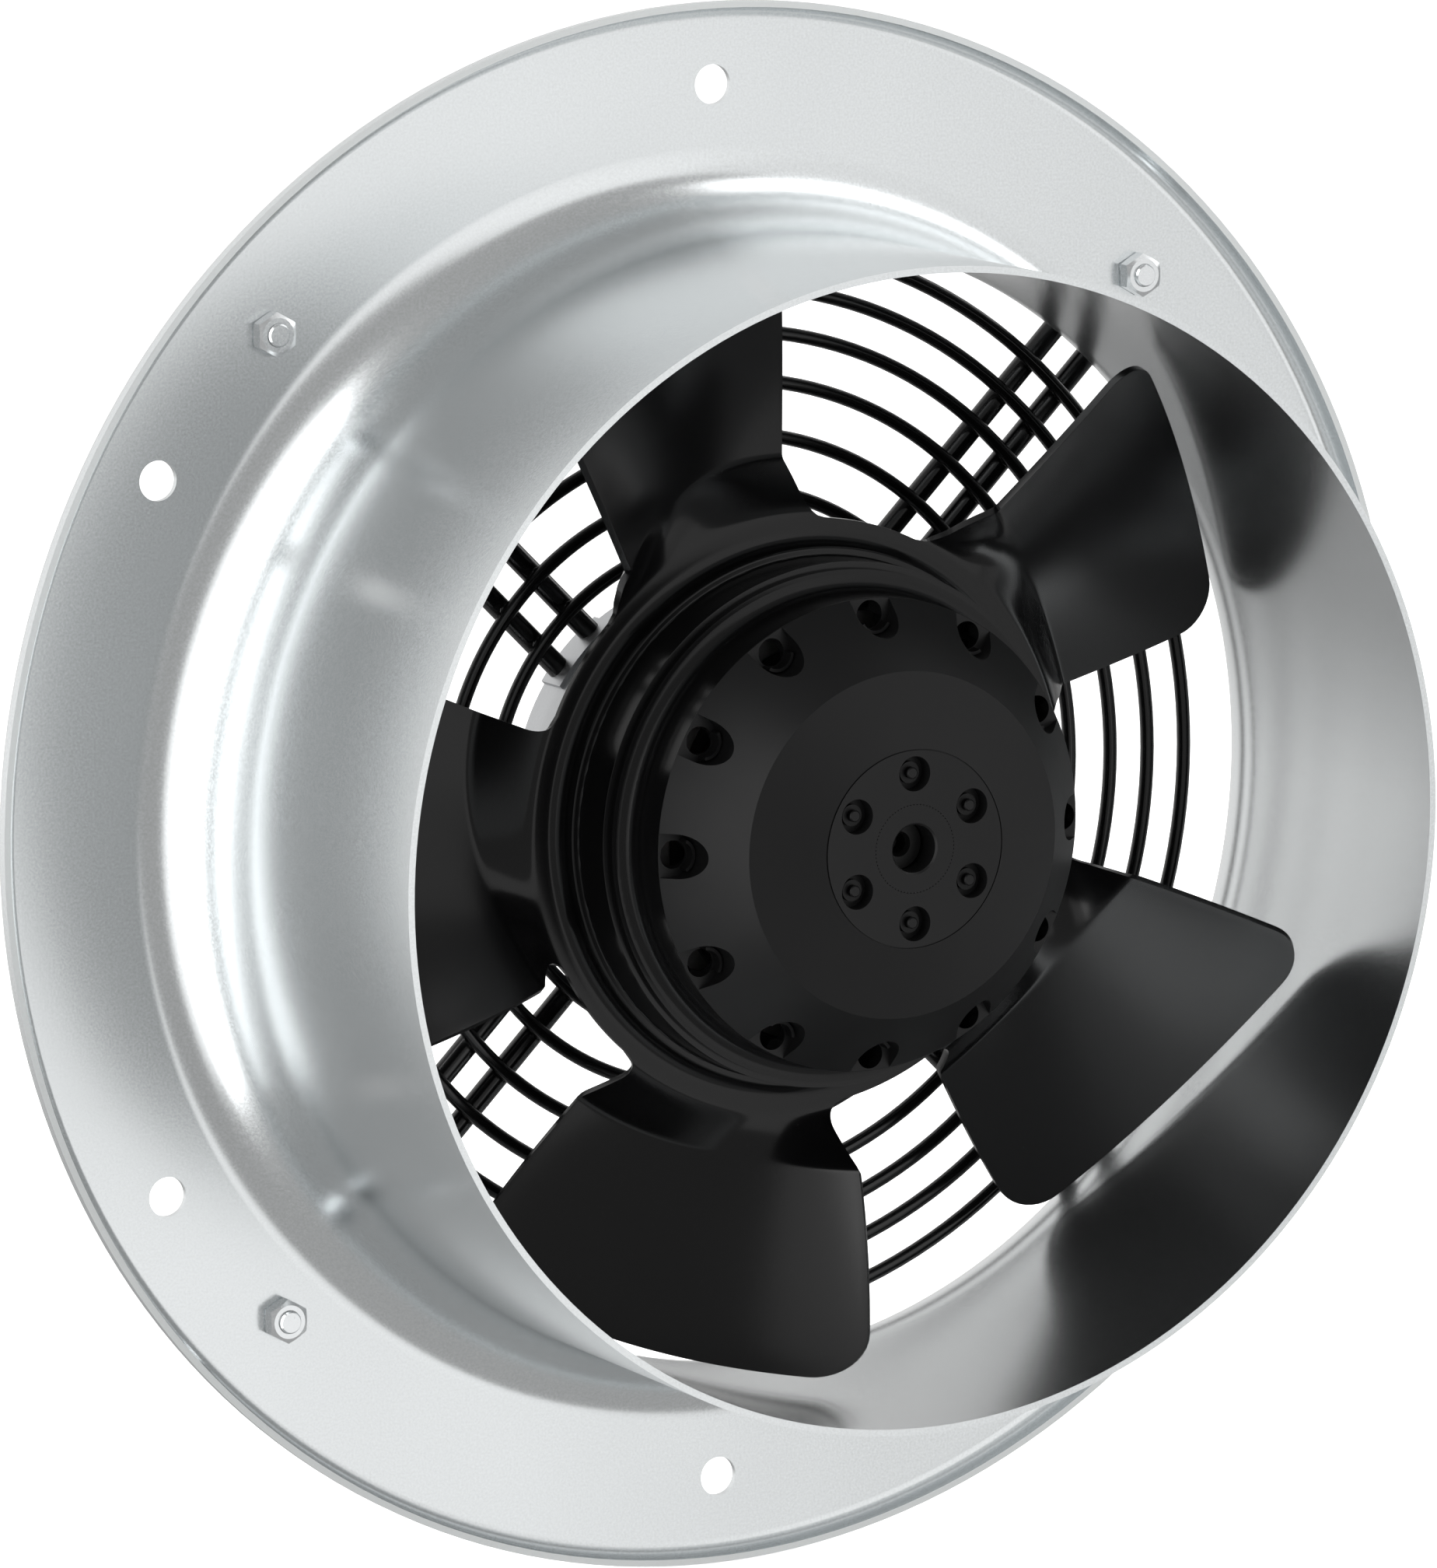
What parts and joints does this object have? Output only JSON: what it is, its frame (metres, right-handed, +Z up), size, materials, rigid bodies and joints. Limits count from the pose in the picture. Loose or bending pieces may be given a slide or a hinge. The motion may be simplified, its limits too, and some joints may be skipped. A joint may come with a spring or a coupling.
{
  "type": "axial wall fan",
  "caption": "Axial wall fan with a galvanised full nozzle ring, a black wire guard and pressed steel blades on an external rotor motor.",
  "frame": {"origin": "centre of the six wall bolt holes on the flange's outlet face", "axes": "+Y along the fan axis towards the guard and the motor, -Y towards the outlet mouth, +Z up, +X right when seen from the outlet"},
  "size_m": [0.358, 0.1256, 0.358],
  "materials": {
    "galvanised_sheet": "bright zinc-coated sheet, satin gloss",
    "guard_wire": "gloss black coating on wire",
    "zinc_fastener": "bright zinc plated",
    "cast_aluminium": "bare die casting",
    "seal_rubber": "matt moulded rubber",
    "black_plastic": "satin polyamide",
    "pale_plastic": "moulded polyamide",
    "lamination_steel": "stacked sheet edges",
    "copper_winding": "enamelled copper wire, varnished",
    "bearing_steel": "ground bright",
    "rotor_black": "satin black coating on casting",
    "blade_black": "satin black coating on pressed sheet"
  },
  "bodies": {
    "housing": {"nozzle_ring": "galvanised_sheet", "guard_ring_1": "guard_wire", "guard_ring_2": "guard_wire", "guard_ring_3": "guard_wire", "guard_ring_4": "guard_wire", "guard_ring_5": "guard_wire", "guard_ring_6": "guard_wire", "guard_ring_7": "guard_wire", "guard_arm_1": "guard_wire", "guard_arm_2": "guard_wire", "guard_arm_3": "guard_wire", "guard_arm_4": "guard_wire", "guard_bolts": "zinc_fastener", "guard_nuts": "zinc_fastener", "guard_washers": "zinc_fastener", "stator_housing": "cast_aluminium", "rear_cover": "cast_aluminium", "cover_gasket": "seal_rubber", "cover_screws": "zinc_fastener", "gland_body": "black_plastic", "gland_cap": "black_plastic", "gland_locknut": "black_plastic", "gland_seal": "seal_rubber", "terminal_block": "pale_plastic", "terminal_screws": "zinc_fastener", "stator_core": "lamination_steel", "winding": "copper_winding", "end_insulators": "black_plastic", "wave_spring": "bearing_steel", "front_bearing_outer": "bearing_steel", "rear_bearing_outer": "bearing_steel"},
    "rotor": {"rotor_pot": "rotor_black", "rotor_pins": "rotor_black", "shaft_bush": "rotor_black", "shaft": "bearing_steel", "shaft_circlip": "bearing_steel", "rotor_laminations": "lamination_steel", "rotor_cage": "cast_aluminium", "impeller": "blade_black", "front_bearing_inner": "bearing_steel", "rear_bearing_inner": "bearing_steel"},
    "front_ball_set": {"front_bearing_balls": "bearing_steel", "front_bearing_cage": "bearing_steel"},
    "rear_ball_set": {"rear_bearing_balls": "bearing_steel", "rear_bearing_cage": "bearing_steel"}
  },
  "joints": [
    {"name": "rotor_spin", "type": "hinge", "parent": "housing", "child": "rotor", "pos_m": [0, 0, 0], "axis": [0, 1, 0], "continuous": true},
    {"name": "front_ball_orbit", "type": "hinge", "parent": "housing", "child": "front_ball_set", "pos_m": [0, -0.066, 0], "axis": [0, 1, 0], "continuous": true},
    {"name": "rear_ball_orbit", "type": "hinge", "parent": "housing", "child": "rear_ball_set", "pos_m": [0, -0.02, 0], "axis": [0, 1, 0], "continuous": true}
  ],
  "couplings": [
    {"joint": "front_ball_orbit", "follows": "rotor_spin", "ratio": 0.3682},
    {"joint": "rear_ball_orbit", "follows": "rotor_spin", "ratio": 0.3682}
  ]
}
